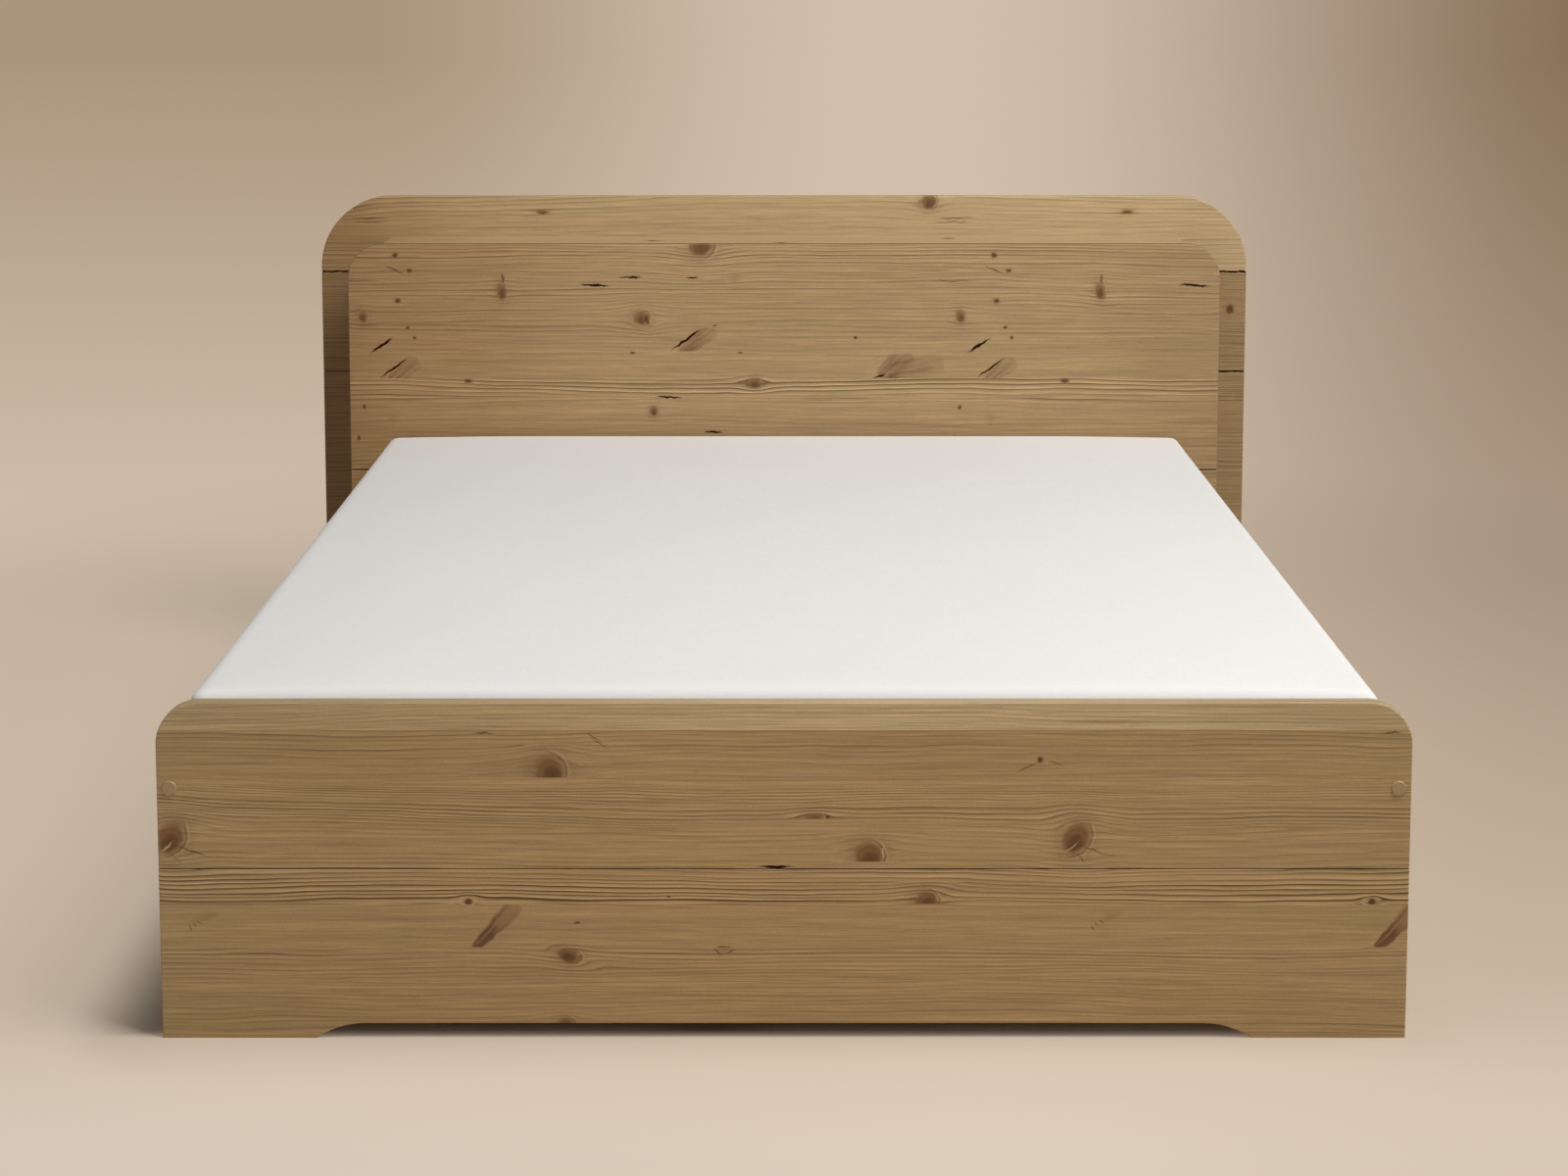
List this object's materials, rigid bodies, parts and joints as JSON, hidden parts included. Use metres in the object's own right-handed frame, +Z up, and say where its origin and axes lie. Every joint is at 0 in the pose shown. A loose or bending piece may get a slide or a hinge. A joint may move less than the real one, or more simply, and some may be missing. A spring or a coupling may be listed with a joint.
{
  "type": "bookcase bed",
  "caption": "Double bed in knotty pine with a low arched footboard, a deep rounded headboard with shelves open at its ends, a slatted base and a white mattress.",
  "frame": {"origin": "on the floor, under the middle of the whole bed", "axes": "+X across the bed, -Y the foot end, +Y the head end, +Z up"},
  "size_m": [1.902, 2.211, 0.933],
  "materials": {
    "pine_panel": "knotty pine panel with a matt clear finish",
    "pine_case": "pine board, matt clear finish",
    "pine_rail": "pine board, matt clear finish",
    "pine_plain": "planed pine, unfinished",
    "beech": "plain beech",
    "zinc_steel": "zinc plated",
    "bracket_steel": "folded zinc-plated sheet",
    "cap_plastic": "pine-coloured plastic",
    "glide_plastic": "dark brown plastic",
    "webbing": "woven polyester tape",
    "mattress_cover": "plain off-white cotton cover"
  },
  "bodies": {
    "bed": {"barrel_nuts": "zinc_steel", "beam_bracket_foot": "bracket_steel", "beam_bracket_head": "bracket_steel", "bed_bolts": "zinc_steel", "bolt_caps": "cap_plastic", "bookcase_tongue": "beech", "bookcase_top": "pine_case", "centre_beam": "pine_plain", "centre_leg_foot": "pine_plain", "centre_leg_head": "pine_plain", "divider_centre": "pine_case", "divider_left": "pine_case", "divider_right": "pine_case", "footboard_lower": "pine_panel", "footboard_tongue": "beech", "footboard_upper": "pine_panel", "front_panel_lower": "pine_panel", "front_panel_tongue": "beech", "front_panel_upper": "pine_panel", "leg_glides": "glide_plastic", "rail_dowels": "beech", "rear_panel_lower": "pine_panel", "rear_panel_middle": "pine_panel", "rear_panel_top": "pine_panel", "rear_tongue_high": "beech", "rear_tongue_low": "beech", "shelf_left_1": "pine_case", "shelf_left_2": "pine_case", "shelf_left_3": "pine_case", "shelf_right_1": "pine_case", "shelf_right_2": "pine_case", "shelf_right_3": "pine_case", "side_rail_left": "pine_rail", "side_rail_right": "pine_rail", "slat_01": "pine_plain", "slat_02": "pine_plain", "slat_03": "pine_plain", "slat_04": "pine_plain", "slat_05": "pine_plain", "slat_06": "pine_plain", "slat_07": "pine_plain", "slat_08": "pine_plain", "slat_09": "pine_plain", "slat_10": "pine_plain", "slat_11": "pine_plain", "slat_12": "pine_plain", "slat_13": "pine_plain", "slat_14": "pine_plain", "slat_15": "pine_plain", "slat_ledge_left": "pine_plain", "slat_ledge_right": "pine_plain", "slat_ribbon_left": "webbing", "slat_ribbon_right": "webbing"},
    "mattress_body": {"mattress": "mattress_cover"}
  },
  "joints": [
    {"name": "mattress_lift", "type": "slide", "parent": "bed", "child": "mattress_body", "axis": [0, 0, 1], "range_m": [0, 0.45]}
  ]
}
